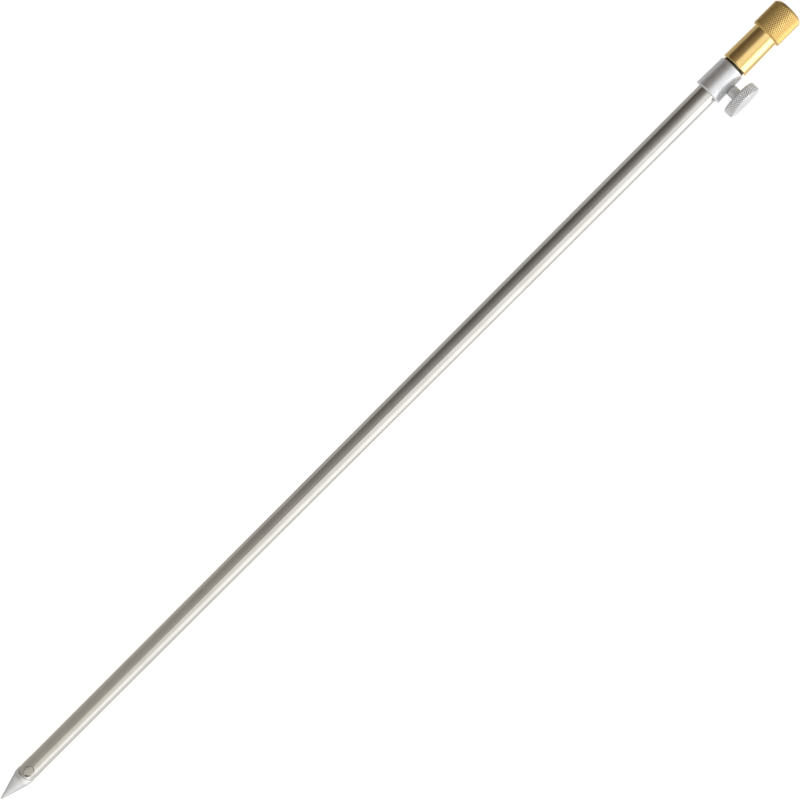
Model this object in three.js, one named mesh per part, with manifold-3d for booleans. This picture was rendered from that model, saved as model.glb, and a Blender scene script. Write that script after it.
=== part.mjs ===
// Telescopic bank stick: a pointed ground tube, a clamp collar with a thumb screw, and an inner pole that slides
// and turns and carries a knurled brass head with a threaded socket.
// Millimetres, +Z up along the stick, origin at the tip of the point, +X towards the thumb screw.

import * as THREE from 'three';
import { mergeVertices } from 'three/addons/utils/BufferGeometryUtils.js';
import Module from 'manifold-3d';

const wasm = await Module();
wasm.setup();

// Fits and cutting allowances
const seatGap = 0.1; // pressed and glued fits
const slidingGap = 0.15; // between the guide sleeve and the tube that it slides in
const runningGap = 0.2; // round a piece that turns or slides in another
const endGap = 0.3; // between faces that come to rest on each other
const pocketGap = 0.3; // round a pressed-in dimple
const cutOverrun = 1; // how far a cutter passes the face that it opens
const joinOverlap = 0.4; // how deep an added form sits in the body that carries it

// Ground tube
const tubeDiameter = 12.7;
const tubeWall = 0.8;
const tubeLength = 617.7;

// Ground point
const coneLength = 22.8;
const coneStep = 0.3; // how far the base of the cone stands out past the tube
const tipDiameter = 1.2;
const shoulderLength = 3.6;
const shoulderEdge = 0.4;
const shankLength = 18;
const shankLead = 0.8;

// Dimples that lock the point in the tube
const dimpleCount = 2;
const dimpleFloorDiameter = 5.2;
const dimpleDepth = 0.95;
const dimpleWallAngle = THREE.MathUtils.degToRad(50);
const dimpleStretchShare = 1.26; // length along the tube over width
const dimpleRise = 5.8; // from the tube's lower end to the middle of a dimple
const dimpleAzimuth = THREE.MathUtils.degToRad(11);

// Clamp collar
const collarLength = 19.4;
const collarFootWall = 2.05; // thickness round the tube
const collarTopWall = 1.65;
const collarChamfer = 0.6;

// Collar bush
const bushBodyLength = 5;
const bushFlangeReach = 0.65; // how far the flange stands out past the bush's body
const bushFlangeThickness = 0.75;
const bushEdge = 0.2;

// Inner pole
const poleSideGap = 0.55; // between the pole and the wall of the tube
const poleWall = 0.6;
const poleClearance = 35.1; // between the ground point and the plug in the pole's foot, with the stick closed

// End plug and guide sleeve at the foot of the pole
const plugSpigotLength = 12;
const plugRimThickness = 3;
const plugEdge = 0.5;
const sleeveLength = 28;
const sleeveEdge = 0.3;

// Brass head
const neckFootWall = 3.2; // thickness round the pole
const neckTopWall = 2.75;
const neckLength = 23.25;
const neckEdge = 0.7;
const headWeb = 5; // between the pole and the socket
const gripStep = 1.5; // how far the grip stands out past the neck
const gripLength = 17.75;
const gripFootChamfer = 0.7;
const gripTopChamfer = 1.3;
const gripKnurlDepth = 0.4;
const gripKnurlCells = 46;
const gripKnurlRows = 14;

// Socket in the head: a rod rest thread of 3/8 inch with 20 turns to the inch
const socketDiameter = 9.52;
const socketThreadDepth = 0.81;
const socketPitch = 1.27;
const socketRootShare = 0.83; // width of the thread's ridge over its pitch
const socketCrestShare = 0.17;
const socketDepth = 15;
const socketDrillPoint = 1.6;
const socketLead = 0.9;

// Thumb screw with an M6 thread
const screwRise = 10.1; // from the collar's foot to the screw's axis
const screwDiameter = 5.9;
const screwThreadDepth = 0.53;
const screwPitch = 1;
const screwRootShare = 0.7; // width of the thread's ridge over its pitch
const screwCrestShare = 0.15;
const screwLead = 0.3;
const screwShoulderStep = 0.35; // how far the shoulder stands out past the thread
const screwShoulderLength = 5.15;
const tapGap = 0.12; // round the thread in the tapped hole
const tapLead = 0.3;
const tubeHoleGap = 0.25; // round the thread in the wall of the tube
const discDiameter = 21.5;
const discThickness = 5.8;
const discChamfer = 0.6;
const discKnurlDepth = 0.4;
const discKnurlCells = 54;
const discKnurlRows = 4;

// Pad on the end of the thumb screw
const padDiameter = 4.6;
const padThickness = 0.8;
const padStemDiameter = 2;
const padStemLength = 2;

// Facets
const roundSides = 40;
const smallSides = 24;
const threadSteps = 24;

// Radii
const tubeRadius = tubeDiameter / 2;
const tubeBoreRadius = tubeRadius - tubeWall;
const coneBaseRadius = tubeRadius + coneStep;
const tipRadius = tipDiameter / 2;
const shankRadius = tubeBoreRadius - seatGap;
const collarBoreRadius = tubeRadius + seatGap;
const collarFootRadius = collarBoreRadius + collarFootWall;
const collarTopRadius = collarBoreRadius + collarTopWall;
const poleRadius = tubeBoreRadius - poleSideGap;
const poleBoreRadius = poleRadius - poleWall;
const bushBoreRadius = poleRadius + runningGap;
const bushRadius = collarBoreRadius - seatGap;
const bushFlangeRadius = bushRadius + bushFlangeReach;
const plugSpigotRadius = poleBoreRadius - seatGap;
const sleeveBoreRadius = plugSpigotRadius + runningGap;
const sleeveRadius = tubeBoreRadius - slidingGap;
const headBoreRadius = poleRadius + seatGap;
const neckFootRadius = headBoreRadius + neckFootWall;
const neckTopRadius = headBoreRadius + neckTopWall;
const gripRadius = neckTopRadius + gripStep;
const padRadius = padDiameter / 2;
const padStemRadius = padStemDiameter / 2;

// Heights along the stick
const shoulderTop = coneLength + shoulderLength;
const shankTop = shoulderTop + shankLength;
const tubeFoot = shoulderTop + seatGap;
const tubeTop = tubeFoot + tubeLength;
const dimpleHeight = tubeFoot + dimpleRise;
const bushFoot = tubeTop + seatGap;
const collarTop = bushFoot + bushBodyLength;
const collarFoot = collarTop - collarLength;
const screwHeight = collarFoot + screwRise;
const bushFlangeFoot = collarTop + seatGap;
const bushFlangeTop = bushFlangeFoot + bushFlangeThickness;
const headFoot = bushFlangeTop + endGap;
const gripFoot = headFoot + neckLength;
const headTop = gripFoot + gripLength;
const plugFoot = shankTop + poleClearance;
const plugRimTop = plugFoot + plugRimThickness;
const sleeveFoot = plugRimTop + endGap;
const sleeveTop = sleeveFoot + sleeveLength;
const poleFoot = sleeveTop + endGap;
const socketFoot = headTop - socketDepth;
const poleTop = socketFoot - socketDrillPoint - headWeb;

// Distances from the stick's axis, along the thumb screw
const padFront = poleRadius + runningGap;
const padBack = padFront + padThickness;
const screwTip = padBack + endGap;
const screwShoulderFoot = (collarFootRadius + collarTopRadius) / 2 + endGap;
const discFront = screwShoulderFoot + screwShoulderLength;
const discBack = discFront + discThickness;

// Threads: a core, and a ridge that is rootWidth wide on it and crestWidth wide at its crest
const socketThread = {
  coreRadius: socketDiameter / 2 - socketThreadDepth,
  crestRadius: socketDiameter / 2,
  rootWidth: socketPitch * socketRootShare,
  crestWidth: socketPitch * socketCrestShare,
  pitch: socketPitch,
};
const screwThread = {
  coreRadius: screwDiameter / 2 - screwThreadDepth,
  crestRadius: screwDiameter / 2,
  rootWidth: screwPitch * screwRootShare,
  crestWidth: screwPitch * screwCrestShare,
  pitch: screwPitch,
};
const tappedThread = {
  coreRadius: screwThread.coreRadius + tapGap,
  crestRadius: screwThread.crestRadius + tapGap,
  rootWidth: screwThread.rootWidth + 2 * tapGap,
  crestWidth: screwThread.crestWidth + 2 * tapGap,
  pitch: screwThread.pitch,
};

// The corners and triangles of a geometry, with the corners that its faces share merged into one
function welded(geometry) {
  const bare = geometry.clone();
  for (const name of Object.keys(bare.attributes)) {
    if (name !== 'position') bare.deleteAttribute(name);
  }
  const merged = mergeVertices(bare);
  const corners = merged.index.array;
  const triangles = [];
  for (let i = 0; i < corners.length; i += 3) {
    const [a, b, c] = corners.slice(i, i + 3);
    if (a !== b && b !== c && c !== a) triangles.push(a, b, c);
  }
  merged.setIndex(triangles);
  return merged;
}

// Geometry into a solid that can be cut and joined. What comes out of a cut or join is welded already.
function solidOf(geometry) {
  const { attributes, index } = geometry.userData.isWelded ? geometry : welded(geometry);
  const vertProperties = new Float32Array(attributes.position.array);
  const triVerts = new Uint32Array(index.array);
  return new wasm.Manifold(new wasm.Mesh({ numProp: 3, vertProperties, triVerts }));
}

// A solid back into geometry
function geometryOf(solid) {
  const mesh = solid.getMesh();
  const geometry = new THREE.BufferGeometry();
  geometry.setAttribute('position', new THREE.BufferAttribute(new Float32Array(mesh.vertProperties), 3));
  geometry.setIndex(new THREE.BufferAttribute(new Uint32Array(mesh.triVerts), 1));
  geometry.computeVertexNormals();
  geometry.userData.isWelded = true;
  return geometry;
}

function join(body, ...others) {
  return geometryOf(others.reduce((solid, other) => solid.add(solidOf(other)), solidOf(body)));
}

function cut(body, ...cutters) {
  return geometryOf(cutters.reduce((solid, cutter) => solid.subtract(solidOf(cutter)), solidOf(body)));
}

function common(body, other) {
  return geometryOf(solidOf(body).intersect(solidOf(other)));
}

// A turned form round +Z. The profile holds [radius, height] points with the material on their left.
function turned(profile, sides = roundSides) {
  const [first] = profile;
  const last = profile[profile.length - 1];
  const open = first[0] > 0 || last[0] > 0;
  const outline = open ? [...profile, first] : profile;
  const points = outline.map(([radius, height]) => new THREE.Vector2(radius, height));
  return new THREE.LatheGeometry(points, sides).rotateX(Math.PI / 2);
}

// A solid round rod on +Z
function rod(radius, foot, top, sides = roundSides) {
  return turned([[0, foot], [radius, foot], [radius, top], [0, top]], sides);
}

// A closed skin over loops of points, each loop joined to the next. A ring's last loop is joined to its first, and
// the two end loops of a strip are filled in. Each quad folds along a diagonal between two of its odd corners.
function skin(loops, ring) {
  const count = loops[0].length;
  const positions = loops.flat(2);
  const faces = [];
  const at = (loop, point) => (loop % loops.length) * count + (point % count);
  const spans = ring ? loops.length : loops.length - 1;
  for (let loop = 0; loop < spans; loop += 1) {
    for (let point = 0; point < count; point += 1) {
      const a = at(loop, point);
      const b = at(loop + 1, point);
      const c = at(loop + 1, point + 1);
      const d = at(loop, point + 1);
      if ((loop + point) % 2 === 0) faces.push(a, b, d, b, c, d);
      else faces.push(a, b, c, a, c, d);
    }
  }
  if (!ring) {
    for (let point = 1; point < count - 1; point += 1) {
      faces.push(at(0, 0), at(0, point), at(0, point + 1));
      faces.push(at(spans, 0), at(spans, point + 1), at(spans, point));
    }
  }
  const geometry = new THREE.BufferGeometry();
  geometry.setAttribute('position', new THREE.Float32BufferAttribute(positions, 3));
  geometry.setIndex(faces);
  return geometry;
}

function onCircle(radius, angle, height) {
  return [radius * Math.cos(angle), radius * Math.sin(angle), height];
}

// A thread's ridge wound round +Z, right-handed, which passes both ends of the stretch from foot to top
function threadRidge(thread, foot, top) {
  const { coreRadius, crestRadius, rootWidth, crestWidth, pitch } = thread;
  const section = [
    [coreRadius - joinOverlap, -rootWidth / 2],
    [coreRadius, -rootWidth / 2],
    [crestRadius, -crestWidth / 2],
    [crestRadius, crestWidth / 2],
    [coreRadius, rootWidth / 2],
    [coreRadius - joinOverlap, rootWidth / 2],
  ];
  const firstTurn = Math.floor(foot / pitch) - 1;
  const lastTurn = Math.ceil(top / pitch) + 1;
  const loops = [];
  for (let step = firstTurn * threadSteps; step <= lastTurn * threadSteps; step += 1) {
    const turn = step / threadSteps;
    loops.push(section.map(([radius, rise]) => onCircle(radius, turn * 2 * Math.PI, turn * pitch + rise)));
  }
  return skin(loops, false);
}

// A threaded rod on +Z whose ends are taken down to the core over a lead
function threadedRod(thread, foot, top, footLead, topLead) {
  const { coreRadius, crestRadius } = thread;
  const outside = crestRadius + joinOverlap;
  const leadRise = (outside - coreRadius) / (crestRadius - coreRadius);
  const blank = turned([
    [0, foot],
    [coreRadius, foot],
    [outside, foot + footLead * leadRise],
    [outside, top - topLead * leadRise],
    [coreRadius, top],
    [0, top],
  ], threadSteps);
  const core = rod(coreRadius, foot, top, threadSteps);
  return join(core, common(threadRidge(thread, foot, top), blank));
}

// A knurled band round +Z: rows of four-sided points between two families of crossing grooves
function knurledBand({ crestRadius, depth, foot, top, footChamfer, topChamfer, cells, rows, boreRadius }) {
  const floorRadius = crestRadius - depth;
  const knurlFoot = foot + footChamfer;
  const rowHeight = (top - topChamfer - knurlFoot) / rows;
  const columns = cells * 2;
  const loops = [];
  for (let column = 0; column < columns; column += 1) {
    const angle = (column / columns) * 2 * Math.PI;
    const loop = [onCircle(boreRadius, angle, foot), onCircle(floorRadius - footChamfer, angle, foot)];
    for (let row = 0; row <= rows; row += 1) {
      const radius = (row + column) % 2 === 0 ? crestRadius : floorRadius;
      loop.push(onCircle(radius, angle, knurlFoot + row * rowHeight));
    }
    loop.push(onCircle(floorRadius - topChamfer, angle, top), onCircle(boreRadius, angle, top));
    loops.push(loop);
  }
  return skin(loops, true);
}

// Carries geometry that is built on +Z onto the thumb screw's axis
function acrossStick(geometry) {
  return geometry.rotateY(Math.PI / 2).translate(0, 0, screwHeight);
}

// The nose of a punch that presses the tube's wall inwards, grown by a thickness all over
function dimpleForm(grown) {
  const noseRadius = dimpleFloorDiameter / 2 + grown;
  const nose = tubeRadius - dimpleDepth - grown;
  const outer = tubeRadius + cutOverrun;
  const outerRadius = noseRadius + (outer - nose) * Math.tan(dimpleWallAngle);
  return turned([[0, nose], [noseRadius, nose], [outerRadius, outer], [0, outer]], smallSides)
    .scale(1, dimpleStretchShare, 1);
}

function dimples(grown) {
  return Array.from({ length: dimpleCount }, (_, index) => dimpleForm(grown)
    .rotateX(Math.PI / 2)
    .rotateZ(dimpleAzimuth + (index / dimpleCount) * 2 * Math.PI)
    .translate(0, 0, dimpleHeight));
}

function outerTube() {
  const bore = rod(tubeBoreRadius, tubeFoot - cutOverrun, tubeTop + cutOverrun);
  const pressedBore = cut(bore, ...dimples(tubeWall));
  const holeRadius = screwThread.crestRadius + tubeHoleGap;
  const screwHole = acrossStick(rod(holeRadius, 0, tubeRadius + cutOverrun, smallSides));
  return cut(rod(tubeRadius, tubeFoot, tubeTop), pressedBore, ...dimples(0), screwHole);
}

function groundPoint() {
  const blank = turned([
    [0, 0],
    [tipRadius, 0],
    [coneBaseRadius, coneLength],
    [coneBaseRadius, shoulderTop - shoulderEdge],
    [coneBaseRadius - shoulderEdge, shoulderTop],
    [shankRadius, shoulderTop],
    [shankRadius, shankTop - shankLead],
    [shankRadius - shankLead, shankTop],
    [0, shankTop],
  ]);
  const insideTube = rod(tubeRadius + cutOverrun, tubeFoot, shankTop);
  return cut(blank, ...dimples(tubeWall + pocketGap).map((form) => common(form, insideTube)));
}

function collar() {
  const blank = turned([
    [collarBoreRadius, collarFoot],
    [collarFootRadius - collarChamfer, collarFoot],
    [collarFootRadius, collarFoot + collarChamfer],
    [collarTopRadius, collarTop - collarChamfer],
    [collarTopRadius - collarChamfer, collarTop],
    [collarBoreRadius, collarTop],
  ]);
  const face = (collarFootRadius + collarTopRadius) / 2;
  const outer = face + cutOverrun;
  const tap = threadedRod(tappedThread, collarBoreRadius - cutOverrun, outer, 0, 0);
  const holeMouth = tappedThread.crestRadius + tapLead;
  const mouth = turned([
    [0, face - holeMouth],
    [holeMouth + cutOverrun, outer],
    [0, outer],
  ], threadSteps);
  return cut(blank, acrossStick(tap), acrossStick(mouth));
}

function collarBush() {
  return turned([
    [bushBoreRadius, bushFoot],
    [bushRadius - bushEdge, bushFoot],
    [bushRadius, bushFoot + bushEdge],
    [bushRadius, bushFlangeFoot],
    [bushFlangeRadius, bushFlangeFoot],
    [bushFlangeRadius, bushFlangeTop - bushEdge],
    [bushFlangeRadius - bushEdge, bushFlangeTop],
    [bushBoreRadius, bushFlangeTop],
  ]);
}

function innerPole() {
  return turned([
    [poleBoreRadius, poleFoot],
    [poleRadius, poleFoot],
    [poleRadius, poleTop],
    [poleBoreRadius, poleTop],
  ]);
}

function poleEndPlug() {
  const spigotTop = poleFoot + plugSpigotLength;
  return turned([
    [0, plugFoot],
    [poleRadius - plugEdge, plugFoot],
    [poleRadius, plugFoot + plugEdge],
    [poleRadius, plugRimTop],
    [plugSpigotRadius, plugRimTop],
    [plugSpigotRadius, spigotTop - plugEdge],
    [plugSpigotRadius - plugEdge, spigotTop],
    [0, spigotTop],
  ]);
}

function guideSleeve() {
  return turned([
    [sleeveBoreRadius, sleeveFoot],
    [sleeveRadius - sleeveEdge, sleeveFoot],
    [sleeveRadius, sleeveFoot + sleeveEdge],
    [sleeveRadius, sleeveTop - sleeveEdge],
    [sleeveRadius - sleeveEdge, sleeveTop],
    [sleeveBoreRadius, sleeveTop],
  ]);
}

function restHead() {
  const bandBoreRadius = gripRadius - gripKnurlDepth - gripTopChamfer - joinOverlap;
  const coreRadius = bandBoreRadius + joinOverlap / 2;
  const boreTop = poleTop + seatGap;
  const blank = turned([
    [0, boreTop],
    [headBoreRadius, boreTop],
    [headBoreRadius, headFoot],
    [neckFootRadius - neckEdge, headFoot],
    [neckFootRadius, headFoot + neckEdge],
    [neckTopRadius, gripFoot],
    [coreRadius, gripFoot],
    [coreRadius, headTop],
    [0, headTop],
  ]);
  const grip = knurledBand({
    crestRadius: gripRadius,
    depth: gripKnurlDepth,
    foot: gripFoot,
    top: headTop,
    footChamfer: gripFootChamfer,
    topChamfer: gripTopChamfer,
    cells: gripKnurlCells,
    rows: gripKnurlRows,
    boreRadius: bandBoreRadius,
  });
  const tap = threadedRod(socketThread, socketFoot, headTop + cutOverrun, 0, 0);
  const drillPoint = turned([
    [0, socketFoot - socketDrillPoint],
    [socketThread.coreRadius, socketFoot],
    [socketThread.coreRadius, socketFoot + socketPitch],
    [0, socketFoot + socketPitch],
  ], threadSteps);
  const mouthRadius = socketThread.coreRadius + socketLead;
  const mouth = turned([
    [0, headTop - mouthRadius],
    [mouthRadius + cutOverrun, headTop + cutOverrun],
    [0, headTop + cutOverrun],
  ], threadSteps);
  return cut(join(blank, grip), tap, drillPoint, mouth);
}

// The thumb screw and its pad are built on +Z and turned onto the screw's axis by the group that holds them
function thumbScrew() {
  const discRadius = discDiameter / 2;
  const bandBoreRadius = discRadius - discKnurlDepth - discChamfer - joinOverlap;
  const coreRadius = bandBoreRadius + joinOverlap / 2;
  const shoulderRadius = screwThread.crestRadius + screwShoulderStep;
  const disc = turned([
    [0, screwShoulderFoot],
    [shoulderRadius, screwShoulderFoot],
    [shoulderRadius, discFront],
    [coreRadius, discFront],
    [coreRadius, discBack],
    [0, discBack],
  ]);
  const rim = knurledBand({
    crestRadius: discRadius,
    depth: discKnurlDepth,
    foot: discFront,
    top: discBack,
    footChamfer: discChamfer,
    topChamfer: discChamfer,
    cells: discKnurlCells,
    rows: discKnurlRows,
    boreRadius: bandBoreRadius,
  });
  const stud = threadedRod(screwThread, screwTip, screwShoulderFoot + joinOverlap, screwLead, 0);
  const stemHoleTop = padBack + padStemLength + endGap;
  const stemHole = rod(padStemRadius + runningGap, screwTip - cutOverrun, stemHoleTop, smallSides);
  return cut(join(disc, rim, stud), stemHole);
}

function clampPad() {
  return turned([
    [0, padFront],
    [padRadius, padFront],
    [padRadius, padBack],
    [padStemRadius, padBack],
    [padStemRadius, padBack + padStemLength],
    [0, padBack + padStemLength],
  ], smallSides);
}

function metal(color, roughness) {
  return new THREE.MeshStandardMaterial({ color, roughness, metalness: 1 });
}

function plastic(color, roughness) {
  return new THREE.MeshStandardMaterial({ color, roughness, metalness: 0 });
}

function piece(name, geometry, material) {
  const mesh = new THREE.Mesh(geometry, material);
  mesh.name = name;
  return mesh;
}

const groundPole = new THREE.Group();
groundPole.add(
  piece('outer_tube', outerTube(), metal(0xc9c6bf, 0.22)),
  piece('ground_point', groundPoint(), metal(0xcfd0cf, 0.42)),
  piece('collar', collar(), metal(0xd2d4d8, 0.42)),
  piece('collar_bush', collarBush(), plastic(0x16120f, 0.55)),
);

const clampScrew = new THREE.Group();
clampScrew.rotation.y = Math.PI / 2;
clampScrew.position.z = screwHeight;
clampScrew.add(
  piece('thumb_screw', thumbScrew(), metal(0xd5d5d5, 0.48)),
  piece('clamp_pad', clampPad(), plastic(0xe4dfd2, 0.5)),
);

const slidingPole = new THREE.Group();
slidingPole.add(
  piece('inner_pole', innerPole(), metal(0xd2cfc9, 0.18)),
  piece('pole_end_plug', poleEndPlug(), metal(0xcfd0cf, 0.38)),
  piece('guide_sleeve', guideSleeve(), plastic(0xdedacd, 0.5)),
  piece('rest_head', restHead(), metal(0xe9c67a, 0.28)),
);

const bankStick = new THREE.Group();
bankStick.add(groundPole, clampScrew, slidingPole);

export default bankStick;
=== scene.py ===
"""Looks of a telescopic bank stick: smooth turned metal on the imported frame, a pale studio and a camera."""

import math
from typing import NamedTuple

import bpy
import numpy as np
from mathutils import Matrix, Vector


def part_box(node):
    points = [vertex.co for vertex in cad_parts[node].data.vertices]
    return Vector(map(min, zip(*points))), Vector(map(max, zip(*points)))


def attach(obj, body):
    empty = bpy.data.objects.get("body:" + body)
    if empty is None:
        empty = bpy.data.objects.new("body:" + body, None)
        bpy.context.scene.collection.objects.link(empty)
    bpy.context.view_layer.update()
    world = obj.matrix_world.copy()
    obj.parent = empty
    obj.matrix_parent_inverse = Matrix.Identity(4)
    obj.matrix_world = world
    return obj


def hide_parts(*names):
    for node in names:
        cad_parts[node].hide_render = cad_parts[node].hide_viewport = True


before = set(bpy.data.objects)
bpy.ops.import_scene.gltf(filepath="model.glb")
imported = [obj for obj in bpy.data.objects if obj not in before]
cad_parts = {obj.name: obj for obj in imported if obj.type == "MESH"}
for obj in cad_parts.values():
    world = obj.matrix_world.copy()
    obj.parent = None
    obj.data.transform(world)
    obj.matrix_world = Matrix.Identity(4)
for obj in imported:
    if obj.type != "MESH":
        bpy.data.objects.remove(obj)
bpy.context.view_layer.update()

MM = 0.001
SCENE = bpy.context.scene

# Meshes
CORNER_STEPS = 5  # in the round of a corner
HOLD_SHARE = 0.2  # how far off a round its straight stretches get a point, as a share of the round
SHARP_ANGLE = math.radians(32)
KNURL_SPLIT = 4  # points to a side of a knurl's cell
KNURL_FLANK_SHARE = 0.7  # how far a groove's flank reaches across a cell
THREAD_ROWS_PER_TURN = 10
ROW_SLACK = 1e-6  # keeps a whole number of rows whole
POINT_SLACK = 0.01  # millimetres by which a point may miss the face that it lies on


def box_mm(node):
    """(lowest corner, highest corner) of a node in millimetres."""
    return [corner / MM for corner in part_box(node)]


class Thread(NamedTuple):
    """A right-handed thread round +Z: the radii of its core and crest, its ridge's width at each of them,
    and its pitch."""

    core: float
    crest: float
    root: float
    land: float
    pitch: float

    def radius(self, angles, height):
        """The radius at a height, for each angle."""
        off = np.abs((height / self.pitch - angles / (2 * math.pi) + 0.5) % 1 - 0.5) * self.pitch
        share = np.clip((self.root / 2 - off) / (self.root / 2 - self.land / 2), 0, 1)
        return self.core + (self.crest - self.core) * share * share * (3 - 2 * share)


class Knurl(NamedTuple):
    """A diamond knurl round +Z: its crests' radius, its grooves' depth, its cells round and along the band,
    and the chamfers at the band's foot and top."""

    crest: float
    depth: float
    cells: int
    rows: int
    foot_chamfer: float
    top_chamfer: float

    @property
    def groove(self):
        """The radius of the grooves' floors."""
        return self.crest - self.depth

    @property
    def columns(self):
        """How many points a row has."""
        return self.cells * 2 * KNURL_SPLIT

    def band(self, foot, top):
        """Rows of points from foot to top, and how their quads fold, along the grooves' floors."""
        knurl_foot = foot + self.foot_chamfer
        step = (top - self.top_chamfer - knurl_foot) / self.rows / KNURL_SPLIT
        first = -math.floor(self.foot_chamfer / step + ROW_SLACK)
        last = self.rows * KNURL_SPLIT + math.floor(self.top_chamfer / step + ROW_SLACK)
        column = np.arange(self.columns) / KNURL_SPLIT
        rows, folds = [], []
        for line in range(first, last + 1):
            height = knurl_foot + line * step
            row = line / KNURL_SPLIT
            u, v = column % 1, row % 1
            even = (np.floor(column) + math.floor(row)) % 2 == 0
            off = np.where(even, np.abs(u + v - 1), np.abs(u - v))
            radius = self.groove + self.depth * np.minimum(1, off / KNURL_FLANK_SHARE)
            foot_cone = height - foot + self.groove - self.foot_chamfer
            top_cone = top - height + self.groove - self.top_chamfer
            rows.append((np.minimum(radius, min(foot_cone, top_cone)), height))
            folds.append(~even)
        return rows, folds


# Sizes from here on are in millimetres, and are those that the nodes' boxes don't give
SEAT_GAP = 0.1  # pressed and glued fits
CUT_OVERRUN = 1  # how far a cutter passes the face that it opens

# Ground tube
TUBE_WALL = 0.8
TUBE_EDGE = 0.5
TUBE_BORE_EDGE = 0.15
TUBE_HOLE = 3.2
TUBE_HOLE_SIDES = 64
TUBE_SIDES = 224
TUBE_FOOT = box_mm("outer_tube")[0].z
TUBE_TOP = box_mm("outer_tube")[1].z
TUBE_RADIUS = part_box("outer_tube")[1].y / MM
TUBE_BORE = TUBE_RADIUS - TUBE_WALL

# Ground point
CONE_LENGTH = 22.8
CONE_EDGE = 0.25
TIP_RADIUS = 0.6
TIP_ROUND = 0.4
SHOULDER_LENGTH = 3.6
SHOULDER_EDGE = 0.6
SHANK_LEAD = 0.8

# Dimples, which are rounded diamonds with a leaning floor and a steep wall on the left
DIMPLE_COUNT = 2
DIMPLE_AZIMUTH = math.radians(11 - 90)  # from the front, -Y, towards the thumb screw
DIMPLE_HEIGHT = 32.3
DIMPLE_DEPTH = 0.6
DIMPLE_FLOOR_RADIUS = 3.0
DIMPLE_OUTLINE_POWER = 1.55  # 1 gives a diamond and 2 an ellipse
DIMPLE_STRETCH = 1.26  # length along the tube over width
DIMPLE_LEAN = math.tan(math.radians(3.8))
DIMPLE_FLOOR_ROUND = 40.0
DIMPLE_WALL_SLOPE = math.tan(math.radians(38))
DIMPLE_STEEP_SLOPE = math.tan(math.radians(10))
DIMPLE_STEEP_POWER = 0.5  # how soon the wall is steep, from the middle to the left
DIMPLE_LIP = 0.15
DIMPLE_LIP_WIDTH = 0.6
DIMPLE_LIP_REACH = 0.8
DIMPLE_BLEND = 0.1
DIMPLE_REACH = 6.0
DIMPLE_ROW = 0.2
DIMPLE_BULGE = 0.22
POCKET_GAP = 0.3

# Clamp collar
COLLAR_TOP_RADIUS = 8.1
COLLAR_BORE = 6.45
COLLAR_BORE_EDGE = 0.1
COLLAR_CHAMFER = 0.6
COLLAR_ROUND = 0.18
COLLAR_SIDES = 160
COLLAR_HOLE = 3.07
COLLAR_HOLE_MOUTH = 0.3
COLLAR_HOLE_SIDES = 96

# Collar bush
BUSH_BORE = 5.2
BUSH_RADIUS = 6.35
BUSH_FLANGE_THICKNESS = 0.75
BUSH_EDGE = 0.2
BUSH_STEP_EDGE = 0.1
BUSH_FOOT_BORE_EDGE = 0.1
BUSH_TOP_BORE_EDGE = 0.15

# Inner pole
POLE_WALL = 0.6
POLE_EDGE = 0.1
POLE_SIDES = 128

# Brass head
HEAD_BORE = 5.1
HEAD_BORE_EDGE = 0.2
HEAD_WEB = 5.0  # between the pole and the socket
NECK_FOOT_RADIUS = 8.3
NECK_TOP_RADIUS = 7.85
NECK_LENGTH = 23.25
NECK_EDGE = 0.7
NECK_FILLET = 0.3
BRIM_ROUND = 0.12
GRIP = Knurl(crest=9.35, depth=0.18, cells=46, rows=14, foot_chamfer=0.7, top_chamfer=1.3)
SOCKET = Thread(core=3.95, crest=4.76, root=1.05, land=0.22, pitch=1.27)
SOCKET_DEPTH = 15.0
SOCKET_POINT = 1.6
SOCKET_LEAD = 0.9

# Thumb screw
STUD = Thread(core=2.42, crest=2.95, root=0.7, land=0.15, pitch=1.0)
STUD_LEAD = 0.3
STEM_HOLE = 1.2  # for the pad's stem, in the stud's end
STEM_HOLE_DEPTH = 2.0
SCREW_SHOULDER = 3.3
SCREW_SHOULDER_LENGTH = 5.15
SCREW_SHOULDER_EDGE = 0.2
DISC = Knurl(crest=10.75, depth=0.3, cells=54, rows=4, foot_chamfer=0.6, top_chamfer=0.6)
DISC_THICKNESS = 5.8
DISC_FILLET = 0.25
DISC_BACK = box_mm("thumb_screw")[1].x
DISC_FRONT = DISC_BACK - DISC_THICKNESS
SCREW_HEIGHT = sum(corner.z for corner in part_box("thumb_screw")) / 2 / MM
TO_SCREW_AXIS = Matrix.Translation((0, 0, SCREW_HEIGHT * MM)) @ Matrix.Rotation(math.pi / 2, 4, "Y")


# Mesh tools

def rounded(profile):
    """(radius, height) points of a profile of (radius, height, size) corners, each rounded over its size. A
    point close to either end of a round keeps the shading of the straight stretch beside it true."""
    points = []
    for index, (radius, height, size) in enumerate(profile):
        corner = Vector((radius, height))
        if not size:
            points.append(corner)
            continue
        before = Vector(profile[index - 1][:2])
        after = Vector(profile[(index + 1) % len(profile)][:2])
        start = corner + (before - corner).normalized() * size
        end = corner + (after - corner).normalized() * size
        points.append(corner.lerp(start, 1 + HOLD_SHARE))
        for step in range(CORNER_STEPS + 1):
            share = step / CORNER_STEPS
            points.append(start.lerp(corner, share).lerp(corner.lerp(end, share), share))
        points.append(corner.lerp(end, 1 + HOLD_SHARE))
    return [tuple(point) for point in points]


def turns(columns):
    """The angle of each column round the axis."""
    return np.arange(columns) * (2 * math.pi / columns)


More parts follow.
